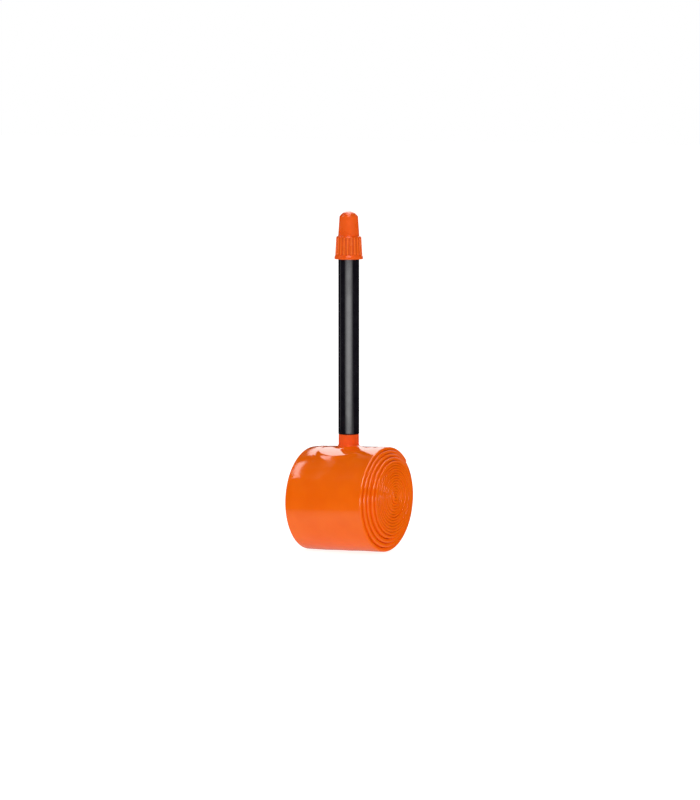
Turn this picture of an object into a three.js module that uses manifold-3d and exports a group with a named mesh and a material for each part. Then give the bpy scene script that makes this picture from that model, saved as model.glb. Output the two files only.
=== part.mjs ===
// A bicycle inner tube of thin orange TPU, pressed flat, folded double and rolled up, with a
// smooth Presta valve standing on the outside of the roll. Millimetres, +Z up.
// The roll's axis lies along X and the valve's axis along Z. The origin is on the surface that
// the roll rests on, straight below the valve.

import * as THREE from "three";
import { mergeVertices } from "three/addons/utils/BufferGeometryUtils.js";
import Module from "manifold-3d";

const wasm = await Module();
wasm.setup();

// ---- The roll ----
const tubeWidth = 25; // width of the tube pressed flat
const rollRadius = 15.6; // from the roll's axis to the film under the valve
const foldRadius = 1.1; // room left in the middle of the roll
const looseTurns = 4; // outer turns, which have sprung open a little
const loosePitch = 1.15;
const tightPitch = 0.78; // pitch of the turns inside those
const turnGap = 0.12; // air between a turn and the next
const filmWall = 0.2; // wall of the tube itself
const tailDegrees = 48; // how far the folded end reaches behind the valve
const flatDepth = 0.35; // how far the underside is pressed flat, straight below the valve
const rollClimb = 0.035; // the roll's axis climbs by this much for each millimetre towards +X
const coreRise = 1.2; // the innermost turn lies this far above the roll's axis
const outerTelescope = 2.1; // how far the loose turns step out along the axis
const innerTelescope = 0.6; // how much further the tight turns step out
const stepsPerTurn = 30;

// ---- The valve foot ----
const flangeRadius = 7.5; // disc inside the tube
const neckRadius = 2.93;
const neckWall = 0.63; // round the stem's spigot
const neckHeight = 3.6; // above the film
const skirtSpread = 1.1; // the neck widens by this much where it meets the film
const skirtHeight = 0.9;

// ---- The stem and its threaded insert ----
const stemRadius = 3;
const stemWall = 0.6; // round the insert
const spigotWall = 0.7;
const exposedStem = 50.5; // smooth stem between the neck and the cap
const insertLength = 9; // inside the stem
const insertWall = 0.58; // under the thread
const tipLip = 0.3; // the thread that carries the cap is this much wider than the rest
const tipLength = 3.55;
const threadPitch = 0.9;
const threadDepth = 0.22;
const seatDepth = 4.2; // from the insert's top down to the gasket's seat

// ---- The removable core ----
const headRadius = 1.95;
const headHeight = 1.9;
const headFlat = 0.3; // depth of each spanner flat
const barrelWall = 0.35;
const barrelLength = 4.6; // below the gasket
const barrelClearance = 0.2;
const gasketHeight = 0.9;
const pinRadius = 0.55;
const pinThreadStep = 0.17; // the pin's thread is this much wider than its shank
const pinClearance = 0.13;
const pinTipLip = 0.23; // the peened tip that keeps the nut on
const pinTipHeight = 0.3;
const pinTail = 0.5; // riveted end below the cup
const pinTravel = 1.2;
const sealLap = 0.3; // how far the seal reaches past the barrel's bore
const sealHeight = 1.7;
const cupHeight = 0.6;
const nutRadius = 1.95;
const nutHeight = 1.8;
const nutNotches = 16;
const nutNotchDepth = 0.16;
const nutTravel = 1.2;

// ---- The cap ----
const capOverlap = 1.75; // how much of the stem the cap covers
const capClearance = 0.15;
const capHeadroom = 0.3;
const capCrown = 1.2; // thickness of the cap's top
const capFlangeHeight = 1.1;
const capFlangeLip = 0.2;
const capSkirtWall = 0.75;
const capKnurlHeight = 5.5;
const capKnurlWall = 0.87;
const capTaperWall = 0.85; // wall where the plain upper part begins
const capShoulderWall = 0.44; // wall where the dome begins
const capDomeHeight = 1.5;
const capFlutes = 22;
const capFluteRadius = 0.3;
const capFluteDepth = 0.2;

const fitGap = 0.1; // between pieces that are bonded, screwed or seated together
const seatGap = 0.05; // between the small pieces of the core
const travelGap = 0.2; // left between the nut and the pin's tip when both have moved fully
const valveSegments = 32;

const DEGREE = Math.PI / 180;

// ---- Sizes that follow from those ----
const looseDepth = looseTurns * loosePitch;
const tightTurns = Math.floor((rollRadius - looseDepth - foldRadius) / tightPitch);
const allTurns = looseTurns + tightTurns;
const valveTurn = tailDegrees / 360; // the valve, in turns from the folded end
const tailRadius = rollRadius + loosePitch * valveTurn;

// Outer radius of the rolled tube, in turns from its folded end.
function turnRadius(turn) {
  const loose = Math.min(turn, looseTurns) * loosePitch;
  const tight = Math.max(turn - looseTurns, 0) * tightPitch;
  return tailRadius - loose - tight;
}

// How far a circle of that radius is lifted above the roll's axis.
function lift(radius) {
  return coreRise * (1 - Math.min(radius / rollRadius, 1) ** 2);
}

// How far a turn of that radius has slid out along the axis.
function telescope(radius) {
  const inward = Math.max(rollRadius - radius, 0);
  const outer = Math.min(inward / looseDepth, 1);
  const inner = Math.max(inward - looseDepth, 0) / (rollRadius - looseDepth);
  return outerTelescope * outer + innerTelescope * inner;
}

const bottomTurn = valveTurn + 0.5;
const bottomRadius = turnRadius(bottomTurn);
const axisHeight = bottomRadius - lift(bottomRadius) - flatDepth;
const rollTop = axisHeight + rollRadius;
const tapeThickness = loosePitch - turnGap;
const flangeThickness = tapeThickness - 2 * filmWall - 2 * fitGap;
const flangeDepth = filmWall + fitGap; // from the roll's surface to the flange
const flangeBottom = tapePoint(valveTurn, flangeDepth + flangeThickness).y;

const spigotRadius = neckRadius - neckWall - fitGap;
const stemBore = spigotRadius - spigotWall;
const insertRadius = stemRadius - stemWall - fitGap;
const tipRadius = insertRadius + tipLip;
const insertBore = tipRadius - threadDepth - insertWall;
const coreThreadRadius = insertBore - fitGap;
const pinThreadRadius = pinRadius + pinThreadStep;
const pinTipRadius = pinThreadRadius + pinTipLip;
const barrelBore = pinThreadRadius + pinClearance;
const barrelRadius = barrelBore + barrelWall;
const seatBore = barrelRadius + barrelClearance;
const sealRadius = barrelBore + sealLap;
const freeThread = nutTravel + pinTravel + travelGap;

const neckTop = rollTop + neckHeight;
const stemShoulder = neckTop + fitGap;
const capBottom = neckTop + exposedStem;
const stemTop = capBottom + capOverlap;
const tipBottom = stemTop + fitGap;
const tipTop = tipBottom + tipLength;
const seatHeight = tipTop - seatDepth;
const gasketBottom = seatHeight + seatGap;
const gasketTop = gasketBottom + gasketHeight;
const coreShoulder = gasketTop + seatGap;
const barrelBottom = gasketBottom - barrelLength;
const headBottom = tipTop + fitGap;
const headTop = headBottom + headHeight;
const nutBottom = headTop + fitGap;
const nutTop = nutBottom + nutHeight;
const threadTop = nutTop + freeThread;
const pinTop = threadTop + pinTipHeight;
const sealTop = barrelBottom - seatGap;
const sealBottom = sealTop - sealHeight;
const cupTop = sealBottom - seatGap;
const cupBottom = cupTop - cupHeight;
const pinBottom = cupBottom - seatGap - pinTail;

const capSkirtBore = stemRadius + capClearance;
const capThreadBore = tipRadius + capClearance;
const capChamber = Math.max(nutRadius, headRadius) + capClearance + fitGap;
const capInsideTop = pinTop + capHeadroom;
const capTop = capInsideTop + capCrown;
const capKnurlBottom = capBottom + capFlangeHeight;
const capKnurlTop = capKnurlBottom + capKnurlHeight;
const capKnurlBottomRadius = capSkirtBore + capSkirtWall;
const capKnurlTopRadius = capThreadBore + capKnurlWall;
const capShoulder = capTop - capDomeHeight;

// ---- Solids ----
// A closed geometry as a manifold-3d solid.
function solid(geometry) {
  const bare = geometry.index ? geometry.toNonIndexed() : geometry.clone();
  bare.deleteAttribute("normal");
  bare.deleteAttribute("uv");
  const merged = mergeVertices(bare, 1e-4);
  return new wasm.Manifold(
    new wasm.Mesh({
      numProp: 3,
      vertProperties: merged.attributes.position.array,
      triVerts: new Uint32Array(merged.index.array),
    }),
  );
}

// A manifold-3d solid as a geometry.
function geometryOf(body) {
  const mesh = body.getMesh();
  const geometry = new THREE.BufferGeometry();
  geometry.setAttribute("position", new THREE.BufferAttribute(mesh.vertProperties, 3));
  geometry.setIndex(new THREE.BufferAttribute(mesh.triVerts, 1));
  geometry.computeVertexNormals();
  return geometry;
}

// A solid of revolution about Z. The [radius, height] points run anticlockwise round the section.
function turned(points, segments = valveSegments) {
  const profile = points.map(([r, z]) => new THREE.Vector2(r, z));
  if (points[0][0] > 0) profile.push(profile[0].clone());
  return new THREE.LatheGeometry(profile, segments).rotateX(Math.PI / 2);
}

function cylinder(radius, bottom, top, segments = valveSegments) {
  const geometry = new THREE.CylinderGeometry(radius, radius, top - bottom, segments);
  return geometry.rotateX(Math.PI / 2).translate(0, 0, (bottom + top) / 2);
}

// [radius, height] points of a ridged wall that climbs from bottom to top.
function threadRidges(radius, bottom, top) {
  const ridges = Math.max(Math.floor((top - bottom) / threadPitch), 1);
  const pitch = (top - bottom) / ridges;
  const points = [];
  for (let i = 0; i < ridges; i += 1) {
    points.push([radius - threadDepth, bottom + i * pitch]);
    points.push([radius, bottom + (i + 0.5) * pitch]);
  }
  points.push([radius - threadDepth, top]);
  return points;
}

// The point [y, z] that lies depth below the rolled tube's surface, that many turns from its end.
function tapePoint(turn, depth) {
  const radius = turnRadius(turn) - depth;
  const angle = turn * 360 * DEGREE - tailDegrees * DEGREE;
  const height = axisHeight + lift(radius) + radius * Math.cos(angle);
  return new THREE.Vector2(-radius * Math.sin(angle), height);
}

// The roll's section between two turns, from topDepth to bottomDepth(turn) below its surface.
function tapeShape(from, to, topDepth, bottomDepth) {
  const steps = Math.round((to - from) * stepsPerTurn);
  const turns = Array.from({ length: steps + 1 }, (_, i) => from + ((to - from) * i) / steps);
  const outside = turns.map((turn) => tapePoint(turn, topDepth));
  const inside = turns.map((turn) => tapePoint(turn, bottomDepth(turn)));
  return new THREE.Shape([...outside, ...inside.reverse()]);
}

// A shape in the Y and Z plane, extruded along X.
function acrossRoll(shape, width) {
  const along = new THREE.Vector3(1, 0, 0);
  const basis = new THREE.Matrix4().makeBasis(
    new THREE.Vector3(0, 1, 0),
    new THREE.Vector3(0, 0, 1),
    along,
  );
  const geometry = new THREE.ExtrudeGeometry(shape, { depth: width, bevelEnabled: false });
  return geometry.translate(0, 0, -width / 2).applyMatrix4(basis);
}

// Tilts a geometry of the roll, so that its axis climbs towards +X.
function climbing(geometry) {
  return geometry.applyMatrix4(new THREE.Matrix4().makeShear(0, rollClimb, 0, 0, 0, 0));
}

// The foot's flange, or the room for it when grown: a disc that follows the rolled tube.
function flangeDisc(grown) {
  const shape = tapeShape(
    0,
    Math.ceil(2 * valveTurn * stepsPerTurn) / stepsPerTurn,
    flangeDepth - grown,
    () => flangeDepth + flangeThickness + grown,
  );
  const disc = cylinder(flangeRadius + grown, axisHeight, rollTop + 1);
  return solid(climbing(acrossRoll(shape, tubeWidth))).intersect(solid(disc));
}

function tubeRoll() {
  const thickness = (turn) => turnRadius(turn) - turnRadius(turn + 1) - turnGap;
  const geometry = acrossRoll(tapeShape(0, allTurns, 0, thickness), tubeWidth);
  const place = geometry.attributes.position;
  for (let i = 0; i < place.count; i += 1) {
    const radius = Math.hypot(place.getY(i), place.getZ(i) - axisHeight);
    place.setX(i, place.getX(i) + telescope(radius));
  }
  const below = 2;
  const floor = new THREE.BoxGeometry(4 * tubeWidth, 4 * rollRadius, below);
  const neckRoom = cylinder(neckRadius + skirtSpread + fitGap, flangeBottom, rollTop + 1);
  return geometryOf(
    solid(climbing(geometry))
      .subtract(solid(floor.translate(0, 0, -below / 2)))
      .subtract(flangeDisc(fitGap))
      .subtract(solid(neckRoom)),
  );
}

function valveFoot() {
  const skirtBottom = flangeBottom + flangeThickness / 2;
  const neck = turned([
    [0, skirtBottom],
    [neckRadius + skirtSpread, skirtBottom],
    [neckRadius + skirtSpread, rollTop],
    [neckRadius, rollTop + skirtHeight],
    [neckRadius, neckTop],
    [0, neckTop],
  ]);
  const bore = cylinder(spigotRadius + fitGap, axisHeight, neckTop + 1);
  return geometryOf(flangeDisc(0).add(solid(neck)).subtract(solid(bore)));
}

function valveStem() {
  const counterbore = insertRadius + fitGap;
  const counterboreBottom = stemTop - insertLength - fitGap;
  return turned([
    [stemBore, flangeBottom],
    [spigotRadius, flangeBottom],
    [spigotRadius, stemShoulder],
    [stemRadius, stemShoulder],
    [stemRadius, stemTop],
    [counterbore, stemTop],
    [counterbore, counterboreBottom],
    [stemBore, counterboreBottom],
  ]);
}

function stemInsert() {
  const bottom = stemTop - insertLength;
  return turned([
    [seatBore, bottom],
    [insertRadius, bottom],
    [insertRadius, tipBottom],
    ...threadRidges(tipRadius, tipBottom, tipTop),
    [insertBore, tipTop],
    [insertBore, seatHeight],
    [seatBore, seatHeight],
  ]);
}

function coreBody() {
  const body = turned([
    [barrelBore, barrelBottom],
    [barrelRadius, barrelBottom],
    [barrelRadius, coreShoulder],
    [coreThreadRadius, coreShoulder],
    [coreThreadRadius, headBottom],
    [headRadius, headBottom],
    [headRadius, headTop],
    [barrelBore, headTop],
  ]);
  const flat = (side) => {
    const box = new THREE.BoxGeometry(headRadius, 2 * headRadius, headHeight);
    const offset = side * (1.5 * headRadius - headFlat);
    return solid(box.translate(offset, 0, headBottom + headHeight / 2 + fitGap));
  };
  return geometryOf(solid(body).subtract(flat(1)).subtract(flat(-1)));
}

function coreGasket() {
  const inner = barrelRadius + seatGap;
  const outer = insertBore - seatGap;
  return turned([
    [inner, gasketBottom],
    [outer, gasketBottom],
    [outer, gasketTop],
    [inner, gasketTop],
  ]);
}

function corePin() {
  return turned([
    [0, pinBottom],
    [pinRadius, pinBottom],
    [pinRadius, headBottom],
    [pinThreadRadius, headBottom],
    [pinThreadRadius, threadTop],
    [pinTipRadius, threadTop],
    [pinTipRadius, pinTop],
    [0, pinTop],
  ]);
}

function pinSeal() {
  const inner = pinRadius + seatGap;
  return turned([
    [inner, sealBottom],
    [sealRadius, sealBottom],
    [sealRadius, sealBottom + sealHeight * 0.6],
    [(sealRadius + barrelBore) / 2, sealTop],
    [inner, sealTop],
  ]);
}

function sealCup() {
  const inner = pinRadius + seatGap;
  return turned([
    [inner, cupBottom],
    [sealRadius * 0.7, cupBottom],
    [sealRadius * 0.9, cupTop],
    [inner, cupTop],
  ]);
}

function lockNut() {
  const outline = [];
  for (let i = 0; i < 2 * nutNotches; i += 1) {
    const radius = i % 2 ? nutRadius - nutNotchDepth : nutRadius;
    const angle = (i * Math.PI) / nutNotches;
    outline.push(new THREE.Vector2(radius * Math.cos(angle), radius * Math.sin(angle)));
  }
  const shape = new THREE.Shape(outline);
  const bore = pinThreadRadius + fitGap;
  shape.holes.push(new THREE.Path().absarc(0, 0, bore, 0, 2 * Math.PI, true));
  const geometry = new THREE.ExtrudeGeometry(shape, {
    depth: nutHeight,
    bevelEnabled: false,
    curveSegments: valveSegments / 2,
  });
  return geometry.translate(0, 0, nutBottom);
}

function valveCap() {
  const segments = 2 * capFlutes;
  const chamberTop = nutTop + nutTravel + fitGap;
  const shell = turned(
    [
      [0, capInsideTop],
      [pinTipRadius + capClearance, capInsideTop],
      [capChamber, chamberTop],
      [capChamber, headBottom],
      [capThreadBore, headBottom],
      [capThreadBore, tipBottom + fitGap],
      [capSkirtBore, tipBottom],
      [capSkirtBore, capBottom],
      [capKnurlBottomRadius + capFlangeLip, capBottom],
      [capKnurlBottomRadius + capFlangeLip, capKnurlBottom - capFlangeLip],
      [capKnurlBottomRadius, capKnurlBottom],
      [capKnurlTopRadius, capKnurlTop],
      [capChamber + capTaperWall, capKnurlTop],
      [capChamber + capShoulderWall, capShoulder],
      [(capChamber + capShoulderWall) * 0.7, capTop - capDomeHeight * 0.3],
      [0, capTop],
    ],
    segments,
  );
  const lean = Math.atan((capKnurlBottomRadius - capKnurlTopRadius) / capKnurlHeight);
  const middleRadius = (capKnurlBottomRadius + capKnurlTopRadius) / 2;
  const middleHeight = (capKnurlBottom + capKnurlTop) / 2;
  let cap = solid(shell);
  for (let i = 0; i < capFlutes; i += 1) {
    const flute = new THREE.CylinderGeometry(capFluteRadius, capFluteRadius, capKnurlHeight, 6);
    flute.rotateX(Math.PI / 2).rotateY(-lean);
    flute.translate(middleRadius + capFluteRadius - capFluteDepth, 0, middleHeight);
    flute.rotateZ((2 * Math.PI * (i + 0.5)) / capFlutes);
    cap = cap.subtract(solid(flute));
  }
  return geometryOf(cap);
}

// ---- Materials ----
const orangeFilm = new THREE.MeshStandardMaterial({ color: 0xeb6002, roughness: 0.12, metalness: 0 });
const orangeMoulding = new THREE.MeshStandardMaterial({ color: 0xed520f, roughness: 0.3, metalness: 0 });
const orangeCap = new THREE.MeshStandardMaterial({ color: 0xe95913, roughness: 0.35, metalness: 0 });
const blackPlastic = new THREE.MeshStandardMaterial({ color: 0x121216, roughness: 0.3, metalness: 0 });
const nickel = new THREE.MeshStandardMaterial({ color: 0xb9b4a8, roughness: 0.3, metalness: 1 });
const brass = new THREE.MeshStandardMaterial({ color: 0xb28a45, roughness: 0.35, metalness: 1 });
const blackRubber = new THREE.MeshStandardMaterial({ color: 0x1c1c1c, roughness: 0.8, metalness: 0 });

// ---- Assembly ----
const innerTube = new THREE.Group();

function addPart(name, geometry, material) {
  const mesh = new THREE.Mesh(geometry, material);
  mesh.name = name;
  innerTube.add(mesh);
}

addPart("tube_roll", tubeRoll(), orangeFilm);
addPart("valve_foot", valveFoot(), orangeMoulding);
addPart("valve_stem", valveStem(), blackPlastic);
addPart("stem_insert", stemInsert(), nickel);
addPart("core_body", coreBody(), brass);
addPart("core_gasket", coreGasket(), blackRubber);
addPart("core_pin", corePin(), brass);
addPart("pin_seal", pinSeal(), blackRubber);
addPart("seal_cup", sealCup(), brass);
addPart("lock_nut", lockNut(), nickel);
addPart("valve_cap", valveCap(), orangeCap);

export default innerTube;
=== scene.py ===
"""Looks of a bicycle inner tube of orange TPU film, pressed flat, folded double and rolled up.

A smooth black valve stem stands on the roll in its orange neck, under a fluted orange cap. The
cap lifts off and shows the threaded insert, the core's head, the lock nut and the pin.

Sizes in the classes are millimetres. Meshes are in metres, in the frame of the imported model:
Z up along the stem, X along the roll's axis, the roll resting on Z = 0.
"""

import logging
import math
from collections.abc import Callable, Sequence
from dataclasses import dataclass
from enum import Enum
from itertools import pairwise
from typing import Any

import bpy
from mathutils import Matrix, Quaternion, Vector, noise


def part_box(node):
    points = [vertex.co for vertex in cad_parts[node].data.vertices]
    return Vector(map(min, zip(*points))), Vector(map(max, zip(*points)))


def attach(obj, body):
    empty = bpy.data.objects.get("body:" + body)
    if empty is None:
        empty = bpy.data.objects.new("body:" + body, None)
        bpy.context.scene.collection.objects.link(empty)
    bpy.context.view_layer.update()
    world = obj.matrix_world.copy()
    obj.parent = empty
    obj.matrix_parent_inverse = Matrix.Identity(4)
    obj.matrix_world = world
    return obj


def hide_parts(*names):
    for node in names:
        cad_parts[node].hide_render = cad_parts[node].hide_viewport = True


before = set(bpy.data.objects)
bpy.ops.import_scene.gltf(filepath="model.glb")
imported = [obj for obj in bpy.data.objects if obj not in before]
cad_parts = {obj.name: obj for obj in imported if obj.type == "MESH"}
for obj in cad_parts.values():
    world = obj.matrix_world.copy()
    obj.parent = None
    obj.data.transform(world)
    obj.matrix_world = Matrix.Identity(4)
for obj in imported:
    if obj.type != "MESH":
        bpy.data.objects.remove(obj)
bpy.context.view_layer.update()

LOG = logging.getLogger("inner_tube")
MM = 0.001
RIDGE_HALF_WIDTH = 0.47  # of a screw thread, as a share of its pitch

Point = tuple[float, float]
Colour = tuple[float, float, float, float]


class Body(Enum):
    """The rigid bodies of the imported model."""

    TUBE = "tube"
    PIN = "pin"
    NUT = "nut"
    CAP = "cap"


class Slot(Enum):
    """The record's material slots."""

    FILM = "tube_film"
    MOULDING = "orange_moulding"
    STEM = "stem_plastic"
    INSERT = "insert_metal"
    CORE = "core_metal"
    RUBBER = "seal_rubber"
    CAP = "cap_plastic"


# ---------------------------------------------------------------------------------------------
# Colours and nodes
# ---------------------------------------------------------------------------------------------
def linear(code: str) -> Colour:
    """Turns an sRGB hex colour into linear light.

    Args:
        code: Six hex digits, red first.

    Returns:
        Red, green, blue and an alpha of 1.
    """
    channels = [int(code[i : i + 2], 16) / 255 for i in (0, 2, 4)]
    red, green, blue = (
        c / 12.92 if c <= 0.04045 else ((c + 0.055) / 1.055) ** 2.4 for c in channels
    )
    return red, green, blue, 1.0


def add_node(
    tree: bpy.types.NodeTree,
    kind: str,
    settings: dict[str, Any] | None = None,
    inputs: dict[str | int, Any] | None = None,
) -> bpy.types.Node:
    """Adds a node with its settings, its values and its links.

    Args:
        tree: The node tree that takes the node.
        kind: The node's type, such as "ShaderNodeBump".
        settings: Attribute names and values.
        inputs: Input names or numbers, each with a value or with the socket that feeds it.

    Returns:
        The new node.
    """
    node = tree.nodes.new(kind)
    for name, value in (settings or {}).items():
        setattr(node, name, value)
    for name, value in (inputs or {}).items():
        if isinstance(value, bpy.types.NodeSocket):
            tree.links.new(value, node.inputs[name])
        else:
            node.inputs[name].default_value = value
    return node


def per_metre(spacing: float) -> float:
    """Gives a texture's scale from the size in millimetres of what it draws."""
    return 1 / (spacing * MM)


def cloudy_colour(
    tree: bpy.types.NodeTree, clouds: bpy.types.NodeSocket, deep: str, light: str
) -> bpy.types.NodeSocket:
    """Varies a colour softly between two tones.

    Args:
        tree: The material's node tree.
        clouds: Socket of the noise that mixes them.
        deep: Hex code of the deeper tone.
        light: Hex code of the lighter one.

    Returns:
        The colour's socket.
    """
    limits = {0: clouds, 1: 0.35, 2: 0.65, 3: 0.0, 4: 1.0}
    share = add_node(tree, "ShaderNodeMapRange", None, limits).outputs[0]
    tones = {0: share, 6: linear(deep), 7: linear(light)}
    return add_node(tree, "ShaderNodeMix", {"data_type": "RGBA"}, tones).outputs[2]


# ---------------------------------------------------------------------------------------------
# Finishes
# ---------------------------------------------------------------------------------------------
@dataclass(frozen=True)
class Finish:
    """A real finish, which paints a material of its own name."""

    name: str

    def material(self) -> bpy.types.Material:
        """Gives the finish's material, and makes it the first time.

        Returns:
            The material.
        """
        known = bpy.data.materials.get(self.name)
        if known:
            return known
        made = bpy.data.materials.new(self.name)
        made.use_nodes = True
        tree = made.node_tree
        tree.nodes.clear()
        shader = self.shader(tree)
        add_node(tree, "ShaderNodeOutputMaterial", None, {"Surface": shader.outputs[0]})
        return made

    def shader(self, tree: bpy.types.NodeTree) -> bpy.types.Node:
        """Builds the surface shader.

        Args:
            tree: The material's empty node tree.

        Returns:
            The shader node.
        """
        raise NotImplementedError


@dataclass(frozen=True)
class BlownFilm(Finish):
    """Blown TPU film, several layers deep: clear deep orange, smooth and glossy, with faint
    streaks along its length from the extruder's die and a slight haze."""

    light: str = "F36802"
    deep: str = "EE6300"
    cloud: float = 7.0
    streak: float = 0.9
    streak_depth: float = 0.006
    haze: float = 0.35
    haze_depth: float = 0.0015

    def shader(self, tree: bpy.types.NodeTree) -> bpy.types.Node:
        """Builds the film's shader.

        Args:
            tree: The material's empty node tree.

        Returns:
            The shader node.
        """
        place = add_node(tree, "ShaderNodeTexCoord").outputs["Object"]
        # The streaks run round the roll, so their noise is drawn out across X.
        drawn = {"Vector": place, "Scale": (1, 0.04, 0.04)}
        along = add_node(tree, "ShaderNodeMapping", None, drawn).outputs[0]
        clouds, streaks, haze = (
            add_node(
                tree,
                "ShaderNodeTexNoise",
                None,
                {"Vector": point, "Scale": per_metre(size), "Detail": detail},
            ).outputs[0]
            for point, size, detail in (
                (place, self.cloud, 2),
                (along, self.streak, 3),
                (place, self.haze, 2),
            )
        )
        relief = {"Height": streaks, "Distance": self.streak_depth * MM}
        streaked = add_node(tree, "ShaderNodeBump", None, relief).outputs[0]
        relief = {"Height": haze, "Distance": self.haze_depth * MM, "Normal": streaked}
        gloss = {0: haze, 1: 0.3, 2: 0.7, 3: 0.09, 4: 0.17}
        return add_node(
            tree,
            "ShaderNodeBsdfPrincipled",
            None,
            {
                "Base Color": cloudy_colour(tree, clouds, self.deep, self.light),
                "Roughness": add_node(tree, "ShaderNodeMapRange", None, gloss).outputs[0],
                "IOR": 1.5,
                "Subsurface Weight": 0.2,
                "Subsurface Radius": (1.0, 0.3, 0.05),
                "Subsurface Scale": 0.8 * MM,
                "Normal": add_node(tree, "ShaderNodeBump", None, relief).outputs[0],
            },
        )


@dataclass(frozen=True)
class Moulding(Finish):
    """Injection-moulded plastic: even colour, the fine grain of a spark-eroded mould and slight
    flow clouds."""

    light: str
    deep: str
    roughness: float
    cloud: float = 3.0
    grain: float = 0.18
    grain_depth: float = 0.003
    specular: float = 0.5
    subsurface: float = 0.0

    def shader(self, tree: bpy.types.NodeTree) -> bpy.types.Node:
        """Builds the moulding's shader.

        Args:
            tree: The material's empty node tree.

        Returns:
            The shader node.
        """
        place = add_node(tree, "ShaderNodeTexCoord").outputs["Object"]
        clouds, grain = (
            add_node(
                tree, "ShaderNodeTexNoise", None, {"Vector": place, "Scale": per_metre(size)}
            ).outputs[0]
            for size in (self.cloud, self.grain)
        )
        gloss = {0: clouds, 1: 0.3, 2: 0.7, 3: self.roughness - 0.04, 4: self.roughness + 0.05}
        relief = {"Height": grain, "Distance": self.grain_depth * MM}
        return add_node(
            tree,
            "ShaderNodeBsdfPrincipled",
            None,
            {
                "Base Color": cloudy_colour(tree, clouds, self.deep, self.light),
                "Roughness": add_node(tree, "ShaderNodeMapRange", None, gloss).outputs[0],
                "IOR": 1.5,
                "Specular IOR Level": self.specular,
                "Subsurface Weight": self.subsurface,
                "Subsurface Radius": (1.0, 0.3, 0.05),
                "Subsurface Scale": 0.6 * MM,
                "Normal": add_node(tree, "ShaderNodeBump", None, relief).outputs[0],
            },
        )


@dataclass(frozen=True)
class FlutedPlasticWithPaintedLight(Moulding):
    """The cap's moulded polypropylene, a little translucent. Light and shade are painted on its
    flutes: the thin crests between them are painted paler as a highlight, and the grooves are
    painted darker as shade, the deeper the darker.

    The fluted band's lowest and highest point and the crests' radius at each are millimetres.
    """

    # Painted highlight colour of the crests, and painted shade colour of the grooves.
    crest: str = "F26C1C"
    groove: str = "D04C02"
    crest_radius: Point = (3.82, 3.55)
    band: Point = (85.6, 90.6)
    depth: float = 0.3
    fade: float = 0.1

    def shader(self, tree: bpy.types.NodeTree) -> bpy.types.Node:
        """Builds the plastic's shader.

        Args:
            tree: The material's empty node tree.

        Returns:
            The shader node.
        """
        shader = super().shader(tree)
        plain = shader.inputs["Base Color"].links[0].from_socket
        place = add_node(tree, "ShaderNodeTexCoord").outputs["Object"]
        flattened = {"Vector": place, "Scale": (1, 1, 0)}
        level = add_node(tree, "ShaderNodeMapping", None, flattened).outputs[0]
        reach = add_node(tree, "ShaderNodeVectorMath", {"operation": "LENGTH"}, {0: level})
        height = add_node(tree, "ShaderNodeSeparateXYZ", None, {0: place}).outputs[2]
        low, high = (edge * MM for edge in self.band)
        wide, narrow = (radius * MM for radius in self.crest_radius)
        crest, over, under = (
            add_node(
                tree,
                "ShaderNodeMapRange",
                None,
                {0: height, 1: start, 2: end, 3: first, 4: last},
            ).outputs[0]
            for start, end, first, last in (
                (low, high, wide, narrow),
                (high - self.fade * MM, high, 1, 0),
                (low - self.fade * MM, low, 0, 1),
            )
        )
        below, inside = (
            add_node(
                tree, "ShaderNodeMath", {"operation": operation}, {0: first, 1: second}
            ).outputs[0]
            for operation, first, second in (
                ("SUBTRACT", crest, reach.outputs[1]),
                ("MULTIPLY", over, under),
            )
        )
        # Painted shade: below the crests' radius the colour darkens with depth, from the painted
        # crest highlight to the painted groove shade.
        painted_shade_depth = {0: below, 1: 0.0, 2: self.depth * MM, 3: 0.0, 4: 1.0}
        sunk = add_node(tree, "ShaderNodeMapRange", None, painted_shade_depth).outputs[0]
        as_colour = {"data_type": "RGBA"}
        tones = {0: sunk, 6: linear(self.crest), 7: linear(self.groove)}
        fluted = add_node(tree, "ShaderNodeMix", as_colour, tones).outputs[2]
        parts = {0: inside, 6: plain, 7: fluted}
        mix = add_node(tree, "ShaderNodeMix", as_colour, parts)
        tree.links.new(mix.outputs[2], shader.inputs["Base Color"])
        return shader


@dataclass(frozen=True)
class TurnedMetal(Finish):
    """Metal turned on a lathe: fine rings of tool marks round the valve's axis, and a surface
    that is a little duller where it has been handled."""

    light: str
    deep: str
    roughness: float
    mark: float = 0.12
    mark_depth: float = 0.002
    wear: float = 1.5

    def shader(self, tree: bpy.types.NodeTree) -> bpy.types.Node:
        """Builds the metal's shader.

        Args:
            tree: The material's empty node tree.

        Returns:
            The shader node.
        """
        place = add_node(tree, "ShaderNodeTexCoord").outputs["Object"]
        # The marks run round the axis, so their noise hardly changes across X and Y.
        ringed = {"Vector": place, "Scale": (0.02, 0.02, 1)}
        around = add_node(tree, "ShaderNodeMapping", None, ringed).outputs[0]
        rings, wear = (
            add_node(
                tree, "ShaderNodeTexNoise", None, {"Vector": point, "Scale": per_metre(size)}
            ).outputs[0]
            for point, size in ((around, self.mark), (place, self.wear))
        )
        gloss = {0: wear, 1: 0.3, 2: 0.7, 3: self.roughness - 0.05, 4: self.roughness + 0.1}
        relief = {"Height": rings, "Distance": self.mark_depth * MM}
        return add_node(
            tree,
            "ShaderNodeBsdfPrincipled",
            None,
            {
                "Base Color": cloudy_colour(tree, wear, self.deep, self.light),
                "Metallic": 1.0,
                "Roughness": add_node(tree, "ShaderNodeMapRange", None, gloss).outputs[0],
                "Normal": add_node(tree, "ShaderNodeBump", None, relief).outputs[0],
            },
        )


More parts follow.
